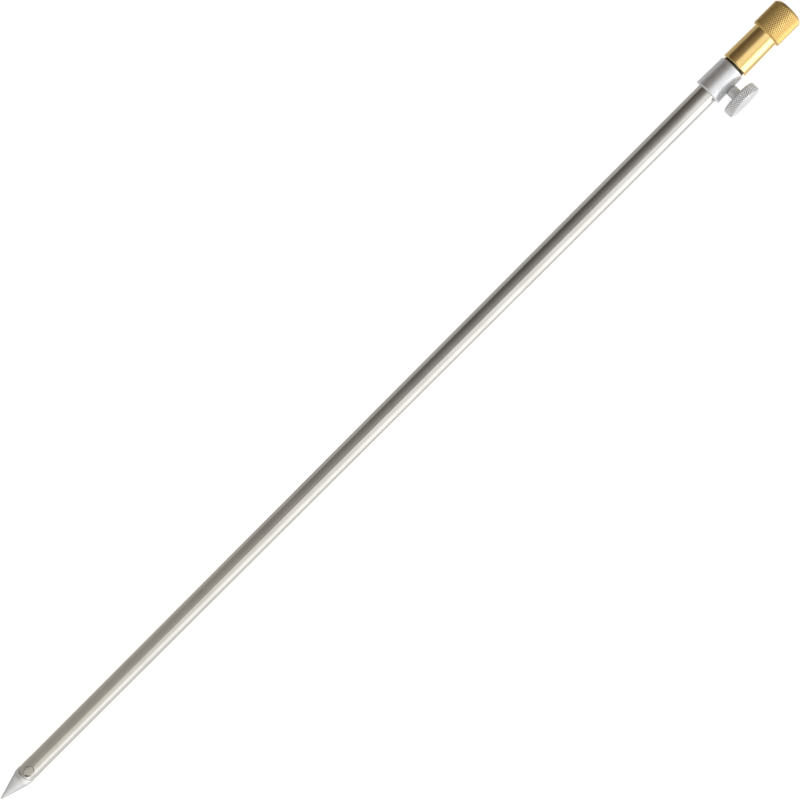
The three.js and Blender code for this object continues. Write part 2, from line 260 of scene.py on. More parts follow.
def strip(low, high, leans=None):
    """The faces between two rings of points. A ring on the axis is one point, repeated. leans, if given,
    says which way each quad folds."""
    faces = []
    for column in range(len(low)):
        after = (column + 1) % len(low)
        a, b, c, d = low[column], low[after], high[after], high[column]
        if a == b:
            faces.append((a, c, d))
        elif c == d:
            faces.append((a, b, c))
        elif leans is None:
            faces.append((a, b, c, d))
        elif leans[column]:
            faces += [(a, b, c), (a, c, d)]
        else:
            faces += [(a, b, d), (b, c, d)]
    return faces


def skin(rows, columns, closed=False, folds=None, place=None):
    """A mesh over rows of points round +Z, in millimetres. A row is (radius, height), each one number or one
    for each column, and a row of radius 0 is a point on the axis. The material is on the left of the rows'
    course. folds gives the leans of a row's strip by the row's index, and place moves the mesh."""
    cosines, sines = np.cos(turns(columns)), np.sin(turns(columns))
    points, rings, count = [], [], 0
    for radius, height in rows:
        if np.ndim(radius) == 0 and radius == 0:
            points.append(np.array([[0.0, 0.0, height]]))
            rings.append([count] * columns)
            count += 1
        else:
            heights = np.broadcast_to(height, columns)
            points.append(np.stack([radius * cosines, radius * sines, heights], axis=1))
            rings.append(list(range(count, count + columns)))
            count += columns
    followers = rings[1:] + rings[:1] if closed else rings[1:]
    faces = []
    for index, (low, high) in enumerate(zip(rings, followers)):
        faces += strip(low, high, (folds or {}).get(index))
    corners = np.concatenate(points) * MM
    if place is not None:
        corners = corners @ np.array(place.to_3x3()).T + np.array(place.translation)
    mesh = bpy.data.meshes.new("skin")
    mesh.from_pydata(corners.tolist(), [], faces)
    return mesh


def add_band(rows, knurl, foot, top):
    """Adds a knurled band to rows of points, and gives the folds of its strips."""
    band, leans = knurl.band(foot, top)
    folds = {len(rows) + index: lean for index, lean in enumerate(leans[:-1])}
    rows += band
    return folds


def without(mesh, cutter):
    """The mesh with the cutter's form taken out of it. Both are used up."""
    blank, tool = [bpy.data.objects.new(part.name, part) for part in (mesh, cutter)]
    for body in (blank, tool):
        SCENE.collection.objects.link(body)
    modifier = blank.modifiers.new("Cut", "BOOLEAN")
    modifier.operation = "DIFFERENCE"
    modifier.solver = "EXACT"
    modifier.object = tool
    bpy.context.view_layer.update()
    result = bpy.data.meshes.new_from_object(blank.evaluated_get(bpy.context.evaluated_depsgraph_get()))
    for body in (blank, tool):
        bpy.data.objects.remove(body)
    for part in (mesh, cutter):
        bpy.data.meshes.remove(part)
    return result


def piece(node, mesh, body, material):
    """An object for a mesh that stands for a node, rides on its body and has a material."""
    mesh.shade_smooth()
    mesh.set_sharp_from_angle(angle=SHARP_ANGLE)
    mesh.materials.append(material)
    mesh.name = node + "_looks"
    made = bpy.data.objects.new(mesh.name, mesh)
    SCENE.collection.objects.link(made)
    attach(made, body)
    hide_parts(node)


def dress(node, material):
    """Gives a node that stays its material."""
    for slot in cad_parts[node].material_slots:
        slot.material = material


# Dimples

def corners_of(mesh):
    """The mesh's points in millimetres."""
    corners = np.zeros(len(mesh.vertices) * 3)
    mesh.vertices.foreach_get("co", corners)
    return corners.reshape(-1, 3) / MM


def set_corners(mesh, corners):
    """Moves the mesh's points to places in millimetres."""
    mesh.vertices.foreach_set("co", (corners * MM).ravel())
    mesh.update()


def smooth_rise(value):
    """The greater of value and 0, with the bend between them rounded."""
    middle = (value + DIMPLE_BLEND) ** 2 / (4 * DIMPLE_BLEND)
    return np.where(value > DIMPLE_BLEND, value, np.where(value < -DIMPLE_BLEND, 0.0, middle))


def punch_face(across, beyond, left, nose):
    """How far out the punch's face is: a leaning, rounded floor, and the wall round it."""
    slope = DIMPLE_WALL_SLOPE + (DIMPLE_STEEP_SLOPE - DIMPLE_WALL_SLOPE) * left
    wall = nose + beyond / slope
    base = nose + across * DIMPLE_LEAN - np.minimum(across, 0) ** 2 / (2 * DIMPLE_FLOOR_ROUND)
    return base + smooth_rise(wall - base)


def pressed(corners, grown, bulge=0.0, lip=0.0):
    """The points, with the dimples pressed into those inside the tube's length by a punch grown by a
    thickness in millimetres. What lies beside the dimples bulges outwards, and a lip rises round them."""
    corners = corners.copy()
    nose = TUBE_RADIUS - DIMPLE_DEPTH - grown
    along = corners[:, 2] - DIMPLE_HEIGHT
    near = np.exp(-(along / DIMPLE_REACH) ** 2)
    in_tube = corners[:, 2] > TUBE_FOOT - POINT_SLACK
    power = DIMPLE_OUTLINE_POWER
    for index in range(DIMPLE_COUNT):
        azimuth = DIMPLE_AZIMUTH + index * 2 * math.pi / DIMPLE_COUNT
        out = np.array([math.cos(azimuth), math.sin(azimuth)])
        side = np.array([-out[1], out[0]])
        height = corners[:, :2] @ out
        across = corners[:, :2] @ side
        away = (np.abs(across) ** power + np.abs(along / DIMPLE_STRETCH) ** power) ** (1 / power)
        beyond = away - DIMPLE_FLOOR_RADIUS - grown
        left = np.clip(-across / DIMPLE_FLOOR_RADIUS, 0, 1) ** DIMPLE_STEEP_POWER
        rim = (beyond - DIMPLE_LIP_REACH) / DIMPLE_LIP_WIDTH
        raised = height + lip * np.exp(-rim ** 2) * (1 - left)
        sunk = raised - smooth_rise(raised - punch_face(across, beyond, left, nose))
        moves = (height > 0) & (away < DIMPLE_REACH + grown) & in_tube
        shift = np.where(moves, sunk - height, 0.0)
        widened = np.where(height > 0, across * near * bulge / TUBE_RADIUS, 0.0)
        corners[:, :2] += shift[:, None] * out + widened[:, None] * side
    return corners


# Camera

CAMERA_PLACE = Vector((0.1161, -0.7865, 0.5466))
CAMERA_AIM = Vector((0, 0, 0.3798))
CAMERA_AZIMUTH = math.atan2(CAMERA_PLACE.x, -CAMERA_PLACE.y)
CAMERA_ROLL = math.radians(45)
CAMERA_LENS = 60.75
CAMERA_SENSOR = 36
CAMERA_CLIP = (0.01, 100)


def camera():
    """The camera at the photograph's viewing angle, rolled so that the stick lies from corner to corner."""
    data = bpy.data.cameras.new("camera")
    data.lens = CAMERA_LENS
    data.sensor_width = CAMERA_SENSOR
    data.clip_start, data.clip_end = CAMERA_CLIP
    made = bpy.data.objects.new("camera", data)
    SCENE.collection.objects.link(made)
    forward = (CAMERA_AIM - CAMERA_PLACE).normalized()
    right = forward.cross(Vector((0, 0, 1))).normalized()
    up = right.cross(forward)
    rolled_right = right * math.cos(CAMERA_ROLL) + up * math.sin(CAMERA_ROLL)
    rolled_up = up * math.cos(CAMERA_ROLL) - right * math.sin(CAMERA_ROLL)
    turn = Matrix((rolled_right, rolled_up, -forward)).transposed()
    made.matrix_world = Matrix.Translation(CAMERA_PLACE) @ turn.to_4x4()
    SCENE.camera = made


# Node trees

class Tree:
    """A node tree, with one short call for each kind of node."""

    def __init__(self, tree):
        self.nodes, self.links = tree.nodes, tree.links
        self.nodes.clear()

    def put(self, socket, value):
        """Links a socket to another, or gives it a value."""
        if isinstance(value, bpy.types.NodeSocket):
            self.links.new(value, socket)
        else:
            socket.default_value = value

    def fill(self, sockets, values):
        for socket, value in zip(sockets, values):
            self.put(socket, value)

    def node(self, kind, **values):
        """A node whose inputs are given by name, with _ for a space."""
        made = self.nodes.new(kind)
        for key, value in values.items():
            self.put(made.inputs[key.replace("_", " ")], value)
        return made

    def output(self, kind, shader):
        """The tree's last node, with a shader at its surface."""
        self.links.new(shader.outputs[0], self.nodes.new(kind).inputs["Surface"])

    def maths(self, operation, *values):
        made = self.nodes.new("ShaderNodeMath")
        made.operation = operation
        self.fill(made.inputs, values)
        return made.outputs[0]

    def vectors(self, operation, *values):
        made = self.nodes.new("ShaderNodeVectorMath")
        made.operation = operation
        self.fill(made.inputs, values)
        return made.outputs["Value" if operation in ("DOT_PRODUCT", "LENGTH") else "Vector"]

    def ranged(self, value, low, high, to_low=0.0, to_high=1.0):
        """value from low..high carried smoothly to to_low..to_high."""
        made = self.nodes.new("ShaderNodeMapRange")
        made.interpolation_type = "SMOOTHSTEP"
        self.fill(made.inputs, (value, low, high, to_low, to_high))
        return made.outputs["Result"]

    def mixed(self, share, first, second):
        """first at share 0, second at share 1, as numbers."""
        made = self.nodes.new("ShaderNodeMix")
        self.fill((made.inputs[0], made.inputs[2], made.inputs[3]), (share, first, second))
        return made.outputs[0]

    def tinted(self, share, first, second):
        """first at share 0, second at share 1, as colours."""
        made = self.nodes.new("ShaderNodeMix")
        made.data_type = "RGBA"
        self.fill((made.inputs[0], made.inputs[6], made.inputs[7]), (share, first, second))
        return made.outputs[2]


# Studio

# What the studio shows in metal, by azimuth from the camera's side towards the thumb screw, in degrees. Each
# panel says where it starts, how soft that edge is, and how bright it is. Starts and brightness are for
# three elevations: low down, level with the camera, and at the top.
PANELS = {
    "flag": ((-93, -86, -97), 16, (0.44, 0.115, 0.13)),
    "dim_edge": ((-48, -48, -56), 16, (0.44, 0.2, 0.22)),
    "half_edge": ((-24, -22, -28), 24, (0.5, 0.34, 0.36)),
    "front_box": ((-2, 17, -9), 16, (0.88, 1.14, 1.18)),
    "box_edge": ((36, 38, 30), 14, (0.92, 1.04, 0.92)),
    "side_box": ((46, 62, 56), 24, (1.38, 1.5, 3.1)),
    "right_wall": ((83, 113, 99), 26, (0.87, 0.76, 0.76)),
    "back": ((152, 168, 158), 12, (1.2, 1.2, 1.5)),
}
BACK_TO = math.radians(-165)
BACK_LEVEL = 1.2
LEFT_WALL_FROM = math.radians(-145)
LEFT_WALL_LEVEL = 0.52
LOW_ELEVATION = math.radians(-34)
LEVEL_ELEVATION = math.radians(-3)
TOP_FROM = math.radians(4.6)
TOP_ELEVATION = math.radians(7.3)
SIDE_SPREAD = 0.6  # over which ceiling and table turn from their left to their right brightness
CEILING_FROM = math.radians(30)
CEILING_TO = math.radians(50)
CEILING_LEFT = 0.15
CEILING_RIGHT = 0.85
TABLE_FROM = math.radians(-52)
TABLE_TO = math.radians(-38)
TABLE_LEFT = 0.65
TABLE_RIGHT = 1.05
TABLE_BEHIND = 0.4
TABLE_DIM_FROM = -0.5
DIFFUSE_LEVEL = 0.75
CAMERA_LEVEL = 1.0
WHITE = (1, 1, 1, 1)
SHADE_TINT = (1.0, 0.95, 0.88, 1)
SHADE_TINT_TOP = (1.0, 0.77, 0.62, 1)
SHADE_TO = 0.6
WARM_TINT = (1.0, 0.955, 0.86, 1)
WARM_FROM = math.radians(-30)
WARM_TO = math.radians(-4)
WARM_AZIMUTHS = (math.radians(0), math.radians(60))


def by_height(tree, rises, values):
    """The value for a ray, from those low down, level and at the top."""
    low, level, top = values
    below_top = low if low == level else tree.mixed(rises[0], low, level)
    return below_top if level == top else tree.mixed(rises[1], below_top, top)


def walls(tree, azimuth, rises):
    """How bright the walls are, panel after panel."""
    level = tree.ranged(azimuth, BACK_TO, LEFT_WALL_FROM, BACK_LEVEL, LEFT_WALL_LEVEL)
    for starts, softness, levels in PANELS.values():
        start = by_height(tree, rises, [math.radians(value) for value in starts])
        past = tree.maths("SUBTRACT", azimuth, start)
        half = math.radians(softness / 2)
        level = tree.mixed(tree.ranged(past, -half, half), level, by_height(tree, rises, levels))
    return level


def room(tree, wall_level, elevation, forward, sideways, at_table):
    """The walls' brightness, with the ceiling's above and the table's below."""
    right = tree.ranged(sideways, -SIDE_SPREAD, SIDE_SPREAD)
    at_ceiling = tree.ranged(elevation, CEILING_FROM, CEILING_TO)
    level = tree.mixed(at_ceiling, wall_level, tree.mixed(right, CEILING_LEFT, CEILING_RIGHT))
    dimming = tree.ranged(forward, TABLE_DIM_FROM, 0.0, TABLE_BEHIND, 1.0)
    table_level = tree.maths("MULTIPLY", tree.mixed(right, TABLE_LEFT, TABLE_RIGHT), dimming)
    return tree.mixed(at_table, level, table_level)


def light_tint(tree, level, azimuth, elevation, rises, at_table, to_camera):
    """The light's tint: warm in the shade, a little warm low down in front, and otherwise white."""
    low_down = tree.ranged(elevation, WARM_FROM, WARM_TO, 1.0, 0.0)
    in_front = tree.ranged(azimuth, *WARM_AZIMUTHS, 1.0, 0.0)
    warm = tree.maths("MULTIPLY", low_down, in_front)
    warm = tree.maths("MULTIPLY", warm, tree.maths("SUBTRACT", 1.0, at_table))
    warm = tree.maths("MULTIPLY", warm, tree.maths("SUBTRACT", 1.0, to_camera))
    plain = tree.tinted(warm, WHITE, WARM_TINT)
    shade = tree.tinted(rises[1], SHADE_TINT, SHADE_TINT_TOP)
    return tree.tinted(tree.ranged(level, 0.0, SHADE_TO), shade, plain)


def studio():
    """The world: panels for metal to show, even light for the rest, and white for the camera."""
    world = bpy.data.worlds.new("studio")
    world.use_nodes = True
    tree = Tree(world.node_tree)
    direction = tree.node("ShaderNodeTexCoord").outputs["Generated"]
    ahead = Vector((math.sin(CAMERA_AZIMUTH), -math.cos(CAMERA_AZIMUTH), 0))
    beside = Vector((math.cos(CAMERA_AZIMUTH), math.sin(CAMERA_AZIMUTH), 0))
    forward = tree.vectors("DOT_PRODUCT", direction, ahead)
    sideways = tree.vectors("DOT_PRODUCT", direction, beside)
    azimuth = tree.maths("ARCTAN2", sideways, forward)
    elevation = tree.maths("ARCSINE", tree.vectors("DOT_PRODUCT", direction, Vector((0, 0, 1))))
    rises = (tree.ranged(elevation, LOW_ELEVATION, LEVEL_ELEVATION),
             tree.ranged(elevation, TOP_FROM, TOP_ELEVATION))
    at_table = tree.ranged(elevation, TABLE_FROM, TABLE_TO, 1.0, 0.0)
    path = tree.node("ShaderNodeLightPath")
    to_camera = path.outputs["Is Camera Ray"]
    level = room(tree, walls(tree, azimuth, rises), elevation, forward, sideways, at_table)
    level = tree.mixed(path.outputs["Is Diffuse Ray"], level, DIFFUSE_LEVEL)
    level = tree.mixed(to_camera, level, CAMERA_LEVEL)
    tint = light_tint(tree, level, azimuth, elevation, rises, at_table, to_camera)
    tree.output("ShaderNodeOutputWorld", tree.node("ShaderNodeBackground", Color=tint, Strength=level))
    SCENE.world = world


LAMP_PLACE = Vector((0.5, -0.5, 2.6))
LAMP_AIM = Vector((0, 0, 0.4))
LAMP_SIZE = 2.0
LAMP_POWER = 10


def lamp():
    """One weak, large lamp overhead, which metal doesn't show."""
    data = bpy.data.lights.new("overhead", "AREA")
    data.shape = "DISK"
    data.size = LAMP_SIZE
    data.energy = LAMP_POWER
    made = bpy.data.objects.new("overhead", data)
    SCENE.collection.objects.link(made)
    turn = (LAMP_PLACE - LAMP_AIM).to_track_quat("Z", "Y").to_matrix()
    made.matrix_world = Matrix.Translation(LAMP_PLACE) @ turn.to_4x4()
    made.visible_glossy = False


FLOOR_SIZE = 12
FLOOR_DROP = 0.0003
FLOOR_COLOUR = (0.82, 0.82, 0.82, 1)
FLOOR_LIFT = 0.42  # what the camera sees on top of the light that falls there


def floor():
    """A plain pale floor just under the point, which metal doesn't show."""
    mesh = bpy.data.meshes.new("floor")
    half = FLOOR_SIZE / 2
    corners = [(x, y, -FLOOR_DROP) for x, y in ((-half, -half), (half, -half), (half, half), (-half, half))]
    mesh.from_pydata(corners, [], [(0, 1, 2, 3)])
    material = bpy.data.materials.new("floor")
    material.use_nodes = True
    tree = Tree(material.node_tree)
    diffuse = tree.node("ShaderNodeBsdfDiffuse", Color=FLOOR_COLOUR)
    lift = tree.maths("MULTIPLY", tree.node("ShaderNodeLightPath").outputs["Is Camera Ray"], FLOOR_LIFT)
    glow = tree.node("ShaderNodeEmission", Strength=lift)
    both = tree.node("ShaderNodeAddShader")
    tree.fill(both.inputs, (diffuse.outputs[0], glow.outputs[0]))
    tree.output("ShaderNodeOutputMaterial", both)
    mesh.materials.append(material)
    made = bpy.data.objects.new("floor", mesh)
    SCENE.collection.objects.link(made)
    made.visible_glossy = False


# Material tools

ALONG_SCREW = 0
ALONG_STICK = 2
METAL_IOR = 1.5
NYLON_IOR = 1.53
FACE_MARGIN = 0.05  # millimetres within which a point counts as on a face

# Noises: how many grains a metre has, octaves of detail and the roughness of that detail
CLOUDS = (60.0, 3.0, 0.6)
SMEARS = (260.0, 4.0, 0.65)
SPECKS = (2600.0, 2.0, 0.5)
LINE_DETAIL = (3.0, 0.6)
NYLON_CLOUDS = (300.0, 3.0, 0.6)
NYLON_GRAIN = (6000.0, 2.0, 0.5)

# What stretch of each noise counts, and how much it does
CLOUD_RANGE = (0.3, 0.75)
SMEAR_RANGE = (0.25, 0.8)
LINE_RANGE = (0.35, 0.75)
NYLON_TONE_RANGE = (0.35, 0.75)
NYLON_ROUGHNESS_RANGE = (0.3, 0.8)
LINE_DULLING = 0.35
LINE_DRAW = 0.02
LINE_RELIEF_SHARE = 0.8
SPECK_RELIEF_SHARE = 0.2
METAL_ROUGHNESS_SPREAD = 0.2
NYLON_ROUGHNESS_SPREAD = 0.15
NYLON_RELIEF = 0.01


class Look:
    """A material in the making. Its tone, roughness, metallic and relief are each one value or a socket, and
    its relief is up to relief_depth millimetres deep."""

    def __init__(self, name, metallic, ior):
        self.material = bpy.data.materials.new(name)
        self.material.use_nodes = True
        self.tree = Tree(self.material.node_tree)
        self.place = self.tree.node("ShaderNodeTexCoord").outputs["Object"]
        self.metallic, self.ior = metallic, ior

    def noise(self, scale, detail, roughness, spread=(1, 1, 1)):
        """Noise from 0 to 1 with grains of about 1/scale metres, drawn out where spread is small."""
        place = self.tree.vectors("MULTIPLY", self.place, Vector(spread))
        made = self.tree.node("ShaderNodeTexNoise", Vector=place, Scale=scale, Detail=detail,
                              Roughness=roughness)
        return made.outputs["Fac"]

    def along(self, axis):
        """The place along an axis."""
        return self.tree.node("ShaderNodeSeparateXYZ", Vector=self.place).outputs[axis]

    def spread_roughness(self, noise, noise_range, roughness, spread):
        """Lets the roughness vary by a share of itself either way."""
        limits = (roughness * (1 - spread), roughness * (1 + spread))
        self.roughness = self.tree.ranged(noise, *noise_range, *limits)

    def change(self, share, tone, roughness=None, metallic=None):
        """Turns to another tone where share is 1, and to another roughness or metallic if one is given."""
        self.tone = self.tree.tinted(share, self.tone, tone)
        if roughness is not None:
            self.roughness = self.tree.mixed(share, self.roughness, roughness)
        if metallic is not None:
            self.metallic = self.tree.mixed(share, self.metallic, metallic)

    def finish(self):
        """The finished material."""
        depth = self.relief_depth * MM
        bump = self.tree.node("ShaderNodeBump", Strength=1.0, Distance=depth, Height=self.relief)
        shader = self.tree.node("ShaderNodeBsdfPrincipled", Base_Color=self.tone, Metallic=self.metallic,
                                Roughness=self.roughness, IOR=self.ior, Normal=bump.outputs["Normal"])
        self.tree.output("ShaderNodeOutputMaterial", shader)
        return self.material


def metal(name, clean, dull, roughness, lines, line_depth, axis=ALONG_STICK, metallic=1.0):
    """The look of turned or drawn metal with a clean and a dull tone, not yet finished. lines says how many
    fine lines a millimetre has along the axis, and line_depth how deep they are in millimetres."""
    look = Look(name, metallic, METAL_IOR)
    tree = look.tree
    spread = [LINE_DRAW] * 3
    spread[axis] = 1.0
    rings = look.noise(lines / MM, *LINE_DETAIL, spread)
    clouded = tree.ranged(look.noise(*CLOUDS), *CLOUD_RANGE)
    ringed = tree.ranged(rings, *LINE_RANGE, 0.0, LINE_DULLING)
    look.tone = tree.tinted(tree.maths("MAXIMUM", clouded, ringed), clean, dull)
    look.spread_roughness(look.noise(*SMEARS), SMEAR_RANGE, roughness, METAL_ROUGHNESS_SPREAD)
    ring_relief = tree.maths("MULTIPLY", rings, LINE_RELIEF_SHARE)
    speck_relief = tree.maths("MULTIPLY", look.noise(*SPECKS), SPECK_RELIEF_SHARE)
    look.relief = tree.maths("ADD", ring_relief, speck_relief)
    look.relief_depth = line_depth
    return look


def nylon(name, colour, worn, roughness):
    """Moulded nylon, finished."""
    look = Look(name, 0.0, NYLON_IOR)
    clouds = look.noise(*NYLON_CLOUDS)
    look.tone = look.tree.tinted(look.tree.ranged(clouds, *NYLON_TONE_RANGE), colour, worn)
    look.spread_roughness(clouds, NYLON_ROUGHNESS_RANGE, roughness, NYLON_ROUGHNESS_SPREAD)
    look.relief = look.noise(*NYLON_GRAIN)
    look.relief_depth = NYLON_RELIEF
    return look.finish()


def tone_knurl(look, knurl, foot, top, crest_tone, groove_tone, roughness, axis, centre):
    """Tones a knurl, from foot to top in millimetres on an axis through a centre, by a point's depth."""
    tree = look.tree
    square = Vector((1, 1, 1))
    square[axis] = 0
    off_centre = tree.vectors("SUBTRACT", look.place, centre)
    radius = tree.vectors("LENGTH", tree.vectors("MULTIPLY", off_centre, square))
    along = look.along(axis)
    above = tree.maths("GREATER_THAN", along, foot * MM)
    below = tree.maths("LESS_THAN", along, top * MM)
    deep = tree.ranged(radius, knurl.groove * MM, knurl.crest * MM, 1.0, 0.0)
    look.change(tree.maths("MULTIPLY", above, below), tree.tinted(deep, crest_tone, groove_tone), roughness)


def tone_ends(look, foot, top, tone, metallic, axis):
    """Gives the flat faces at two places along an axis, in millimetres, their own tone and metallic."""
    along = look.along(axis)
    at_foot = look.tree.maths("COMPARE", along, foot * MM, FACE_MARGIN * MM)
    at_top = look.tree.maths("COMPARE", along, top * MM, FACE_MARGIN * MM)
    look.change(look.tree.maths("MAXIMUM", at_foot, at_top), tone, metallic=metallic)


# Painted shade: a dark ring round the dimples' walls, its place, width, fade and roughness
DIMPLE_SHADE_OFFSET = 0.2
DIMPLE_SHADE_WIDTH = 0.7
DIMPLE_SHADE_FADES = (1.2, 3.0)
DIMPLE_SHADE_ROUGHNESS = 0.4


def shade_dimple_walls(look, tone):
    """Paints shade as a dark ring at the dimples' walls, which fades on the thumb screw's side."""
    tree = look.tree
    side = Vector((-math.sin(DIMPLE_AZIMUTH), math.cos(DIMPLE_AZIMUTH), 0))
    centred = tree.vectors("SUBTRACT", look.place, Vector((0, 0, DIMPLE_HEIGHT * MM)))
    across = tree.vectors("DOT_PRODUCT", centred, side)
    along = tree.vectors("DOT_PRODUCT", centred, Vector((0, 0, 1 / DIMPLE_STRETCH)))
    raised = [tree.maths("POWER", tree.maths("ABSOLUTE", value), DIMPLE_OUTLINE_POWER)
              for value in (across, along)]
    away = tree.maths("POWER", tree.maths("ADD", *raised), 1 / DIMPLE_OUTLINE_POWER)
    ring = (DIMPLE_FLOOR_RADIUS + DIMPLE_SHADE_OFFSET) * MM
    off_ring = tree.maths("ABSOLUTE", tree.maths("SUBTRACT", away, ring))
    on_ring = tree.ranged(off_ring, 0.0, DIMPLE_SHADE_WIDTH * MM, 1.0, 0.0)
    unfaded = tree.ranged(across, DIMPLE_SHADE_FADES[0] * MM, DIMPLE_SHADE_FADES[1] * MM, 1.0, 0.0)
    look.change(tree.maths("MULTIPLY", on_ring, unfaded), tone, DIMPLE_SHADE_ROUGHNESS)


# Materials

STEEL = (0.70, 0.68, 0.645, 1)
STEEL_DULL = (0.64, 0.62, 0.585, 1)
# Painted shade for the ring at the dimples' walls
STEEL_PAINTED_SHADE = (0.22, 0.215, 0.20, 1)
BRIGHT_STEEL = (0.76, 0.745, 0.72, 1)
BRIGHT_STEEL_DULL = (0.68, 0.665, 0.64, 1)
POINT = (0.78, 0.785, 0.78, 1)
POINT_DULL = (0.68, 0.685, 0.68, 1)
ALUMINIUM = (0.855, 0.864, 0.879, 1)
ALUMINIUM_DULL = (0.785, 0.794, 0.809, 1)
# Painted shade: the screw's shoulder and stud take these darker plating tones for the shade under the disc,
# while the knurled disc and its faces get lighter tones
SHADED_PLATING = (0.68, 0.68, 0.675, 1)
SHADED_PLATING_DULL = (0.60, 0.60, 0.60, 1)
PLATING_CREST = (0.98, 0.98, 0.98, 1)
PLATING_GROOVE = (0.60, 0.60, 0.615, 1)
PLATING_FACE = (0.84, 0.84, 0.84, 1)
BRASS = (0.93, 0.70, 0.305, 1)
BRASS_DULL = (0.86, 0.62, 0.25, 1)
BRASS_CREST = (0.84, 0.60, 0.23, 1)
BRASS_GROOVE = (0.66, 0.44, 0.15, 1)
BLACK = (0.012, 0.011, 0.010, 1)
BLACK_WORN = (0.03, 0.028, 0.026, 1)
NATURAL = (0.74, 0.72, 0.65, 1)
NATURAL_WORN = (0.62, 0.59, 0.52, 1)


def tube_steel():
    look = metal("tube_steel", STEEL, STEEL_DULL, roughness=0.17, lines=6, line_depth=0.002)
    # Painted shade at the dimples' walls
    shade_dimple_walls(look, STEEL_PAINTED_SHADE)
    return look.finish()


def pole_steel():
    look = metal("pole_steel", BRIGHT_STEEL, BRIGHT_STEEL_DULL, roughness=0.13, lines=6, line_depth=0.0015)
    return look.finish()


def point_metal():
    look = metal("point_metal", POINT, POINT_DULL, roughness=0.42, lines=5, line_depth=0.006, metallic=0.9)
    return look.finish()


def collar_metal():
    look = metal("collar_metal", ALUMINIUM, ALUMINIUM_DULL, roughness=0.4, lines=5, line_depth=0.004,
                 metallic=0.92)
    return look.finish()


def screw_metal():
    # The plating off the disc is darker, as painted shade under the disc
    look = metal("screw_metal", SHADED_PLATING, SHADED_PLATING_DULL, roughness=0.48, lines=5, line_depth=0.004,
                 axis=ALONG_SCREW, metallic=0.8)
    tone_knurl(look, DISC, DISC_FRONT + FACE_MARGIN, DISC_BACK - FACE_MARGIN, PLATING_CREST, PLATING_GROOVE,
               roughness=0.5, axis=ALONG_SCREW, centre=Vector((0, 0, SCREW_HEIGHT * MM)))
    tone_ends(look, DISC_FRONT, DISC_BACK, PLATING_FACE, metallic=0.1, axis=ALONG_SCREW)
    return look.finish()


def head_brass():
    low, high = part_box("rest_head")
    look = metal("head_brass", BRASS, BRASS_DULL, roughness=0.2, lines=5, line_depth=0.003)
    tone_knurl(look, GRIP, low.z / MM + NECK_LENGTH, high.z / MM - BRIM_ROUND, BRASS_CREST, BRASS_GROOVE,
               roughness=0.34, axis=ALONG_STICK, centre=Vector((0, 0, 0)))
    return look.finish()


def plug_metal():
    return metal("plug_metal", POINT, POINT_DULL, roughness=0.35, lines=4, line_depth=0.005).finish()


def bush_nylon():
    return nylon("bush_nylon", BLACK, BLACK_WORN, roughness=0.5)


def sleeve_nylon():
    return nylon("sleeve_nylon", NATURAL, NATURAL_WORN, roughness=0.5)


def pad_nylon():
    return nylon("pad_nylon", NATURAL, NATURAL_WORN, roughness=0.5)


# Pieces

def build_tube():
    """The tube, with fine rows where its dimples are pressed through both faces of its wall."""
    fine = np.arange(DIMPLE_HEIGHT - DIMPLE_REACH, DIMPLE_HEIGHT + DIMPLE_REACH, DIMPLE_ROW)
    heights = [height for height in fine if height > TUBE_FOOT + 2 * TUBE_EDGE]
    profile = [(TUBE_BORE, TUBE_FOOT, TUBE_BORE_EDGE), (TUBE_RADIUS, TUBE_FOOT, TUBE_EDGE)]
    profile += [(TUBE_RADIUS, height, 0) for height in heights]
    profile += [(TUBE_RADIUS, TUBE_TOP, TUBE_EDGE), (TUBE_BORE, TUBE_TOP, TUBE_BORE_EDGE)]
    profile += [(TUBE_BORE, height, 0) for height in reversed(heights)]
    mesh = skin(rounded(profile), TUBE_SIDES, closed=True)
    corners = corners_of(mesh)
    in_bore = np.hypot(corners[:, 0], corners[:, 1]) < TUBE_BORE + POINT_SLACK
    bore_face = pressed(corners, TUBE_WALL, DIMPLE_BULGE)
    outer_face = pressed(corners, 0, DIMPLE_BULGE, DIMPLE_LIP)
    set_corners(mesh, np.where(in_bore[:, None], bore_face, outer_face))
    reach = TUBE_RADIUS + CUT_OVERRUN
    hole_profile = [(0, 0), (TUBE_HOLE, 0), (TUBE_HOLE, reach), (0, reach)]
    hole = skin(hole_profile, TUBE_HOLE_SIDES, place=TO_SCREW_AXIS)
    piece("outer_tube", without(mesh, hole), "ground_pole", tube_steel())


def build_point():
    """The cone, its shoulder, and the shank with its pockets for the dimples."""
    high = box_mm("ground_point")[1]
    base = high.y
    shoulder_top = CONE_LENGTH + SHOULDER_LENGTH
    shank = TUBE_BORE - SEAT_GAP
    profile = rounded([
        (0, 0, 0),
        (TIP_RADIUS, 0, TIP_ROUND),
        (base, CONE_LENGTH, CONE_EDGE),
        (base, shoulder_top, SHOULDER_EDGE),
        (shank, shoulder_top, 0),
    ])
    fine = np.arange(shoulder_top + DIMPLE_ROW, high.z - (SHANK_LEAD + DIMPLE_ROW), 2 * DIMPLE_ROW)
    profile += [(shank, height) for height in fine]
    profile += [(shank, high.z - SHANK_LEAD), (shank - SHANK_LEAD, high.z), (0, high.z)]
    mesh = skin(profile, TUBE_SIDES)
    set_corners(mesh, pressed(corners_of(mesh), TUBE_WALL + POCKET_GAP))
    piece("ground_point", mesh, "ground_pole", point_metal())


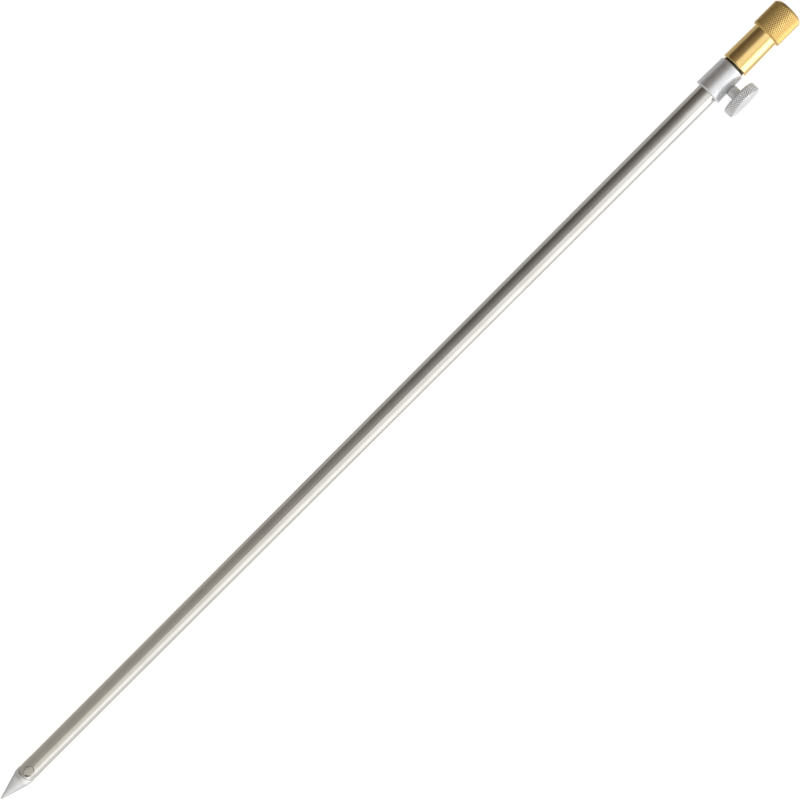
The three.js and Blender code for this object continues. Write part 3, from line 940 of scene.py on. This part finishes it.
def build_collar():
    """The collar, with the hole that the thumb screw goes through."""
    low, high = box_mm("collar")
    foot_radius = high.y
    profile = rounded([
        (COLLAR_BORE, low.z, COLLAR_BORE_EDGE),
        (foot_radius - COLLAR_CHAMFER, low.z, COLLAR_ROUND),
        (foot_radius, low.z + COLLAR_CHAMFER, COLLAR_ROUND),
        (COLLAR_TOP_RADIUS, high.z - COLLAR_CHAMFER, COLLAR_ROUND),
        (COLLAR_TOP_RADIUS - COLLAR_CHAMFER, high.z, COLLAR_ROUND),
        (COLLAR_BORE, high.z, COLLAR_BORE_EDGE),
    ])
    mesh = skin(profile, COLLAR_SIDES, closed=True)
    face = (foot_radius + COLLAR_TOP_RADIUS) / 2
    hole_profile = [
        (0, 0),
        (COLLAR_HOLE, 0),
        (COLLAR_HOLE, face - COLLAR_HOLE_MOUTH),
        (COLLAR_HOLE + COLLAR_HOLE_MOUTH + CUT_OVERRUN, face + CUT_OVERRUN),
        (0, face + CUT_OVERRUN),
    ]
    hole = skin(hole_profile, COLLAR_HOLE_SIDES, place=TO_SCREW_AXIS)
    piece("collar", without(mesh, hole), "ground_pole", collar_metal())


def build_bush():
    """The bush between collar and pole, whose flange is the dark ring on top of the collar."""
    low, high = box_mm("collar_bush")
    flange = high.y
    flange_foot = high.z - BUSH_FLANGE_THICKNESS
    profile = rounded([
        (BUSH_BORE, low.z, BUSH_FOOT_BORE_EDGE),
        (BUSH_RADIUS, low.z, BUSH_EDGE),
        (BUSH_RADIUS, flange_foot, 0),
        (flange, flange_foot, BUSH_STEP_EDGE),
        (flange, high.z, BUSH_EDGE),
        (BUSH_BORE, high.z, BUSH_TOP_BORE_EDGE),
    ])
    mesh = skin(profile, COLLAR_SIDES, closed=True)
    piece("collar_bush", mesh, "ground_pole", bush_nylon())


def build_pole():
    """The plain inner tube."""
    low, high = box_mm("inner_pole")
    radius = high.y
    bore = radius - POLE_WALL
    ends = [(bore, low.z), (radius, low.z), (radius, high.z), (bore, high.z)]
    profile = rounded([(*end, POLE_EDGE) for end in ends])
    mesh = skin(profile, POLE_SIDES, closed=True)
    piece("inner_pole", mesh, "pole", pole_steel())


def build_head():
    """The head, from its bore over neck and knurled grip into the threaded socket."""
    low, high = box_mm("rest_head")
    grip_foot = low.z + NECK_LENGTH
    socket_foot = high.z - SOCKET_DEPTH
    bore_top = socket_foot - SOCKET_POINT - HEAD_WEB + SEAT_GAP
    rows = rounded([
        (0, bore_top, 0),
        (HEAD_BORE, bore_top, HEAD_BORE_EDGE),
        (HEAD_BORE, low.z, HEAD_BORE_EDGE),
        (NECK_FOOT_RADIUS, low.z, NECK_EDGE),
        (NECK_TOP_RADIUS, grip_foot, NECK_FILLET),
        (GRIP.groove - GRIP.foot_chamfer, grip_foot, 0),
    ])
    folds = add_band(rows, GRIP, grip_foot, high.z)
    brim = GRIP.groove - GRIP.top_chamfer
    mouth = SOCKET.core + SOCKET_LEAD
    top_face = rounded([
        (brim + BRIM_ROUND, high.z - BRIM_ROUND, 0),
        (brim, high.z, BRIM_ROUND),
        (mouth, high.z, BRIM_ROUND),
        (mouth - BRIM_ROUND, high.z - BRIM_ROUND, 0),
    ])
    rows += top_face[1:-1]  # its ends only lead into the rounds
    angles = turns(GRIP.columns)
    step = SOCKET.pitch / THREAD_ROWS_PER_TURN
    for height in np.arange(high.z - step, socket_foot, -step):
        lead = mouth - (high.z - height)
        rows.append((np.maximum(SOCKET.radius(angles, height), lead), height))
    rows += [(SOCKET.core, socket_foot), (0, socket_foot - SOCKET_POINT)]
    mesh = skin(rows, GRIP.columns, folds=folds)
    piece("rest_head", mesh, "pole", head_brass())


def build_screw():
    """The thumb screw, built up +Z from the stud's end to the disc's outer face, then laid on its axis."""
    foot = box_mm("thumb_screw")[0].x
    shoulder_foot = DISC_FRONT - SCREW_SHOULDER_LENGTH
    hole_top = foot + STEM_HOLE_DEPTH
    rows = [(0, hole_top), (STEM_HOLE, hole_top), (STEM_HOLE, foot), (STUD.core, foot)]
    angles = turns(DISC.columns)
    step = STUD.pitch / THREAD_ROWS_PER_TURN
    for height in np.arange(foot + step, shoulder_foot, step):
        lead = STUD.core + (height - foot) / STUD_LEAD * (STUD.crest - STUD.core)
        rows.append((np.minimum(STUD.radius(angles, height), lead), height))
    rows += rounded([
        (STUD.core, shoulder_foot, 0),
        (SCREW_SHOULDER, shoulder_foot, SCREW_SHOULDER_EDGE),
        (SCREW_SHOULDER, DISC_FRONT, DISC_FILLET),
        (DISC.groove - DISC.foot_chamfer, DISC_FRONT, 0),
    ])
    folds = add_band(rows, DISC, DISC_FRONT, DISC_BACK)
    rows += [(DISC.groove - DISC.top_chamfer, DISC_BACK), (0, DISC_BACK)]
    mesh = skin(rows, DISC.columns, folds=folds, place=TO_SCREW_AXIS)
    piece("thumb_screw", mesh, "screw", screw_metal())


camera()
studio()
lamp()
floor()

build_tube()
build_point()
build_collar()
build_bush()
build_pole()
build_head()
build_screw()
dress("pole_end_plug", plug_metal())
dress("guide_sleeve", sleeve_nylon())
dress("clamp_pad", pad_nylon())

SCENE.view_settings.view_transform = "Standard"
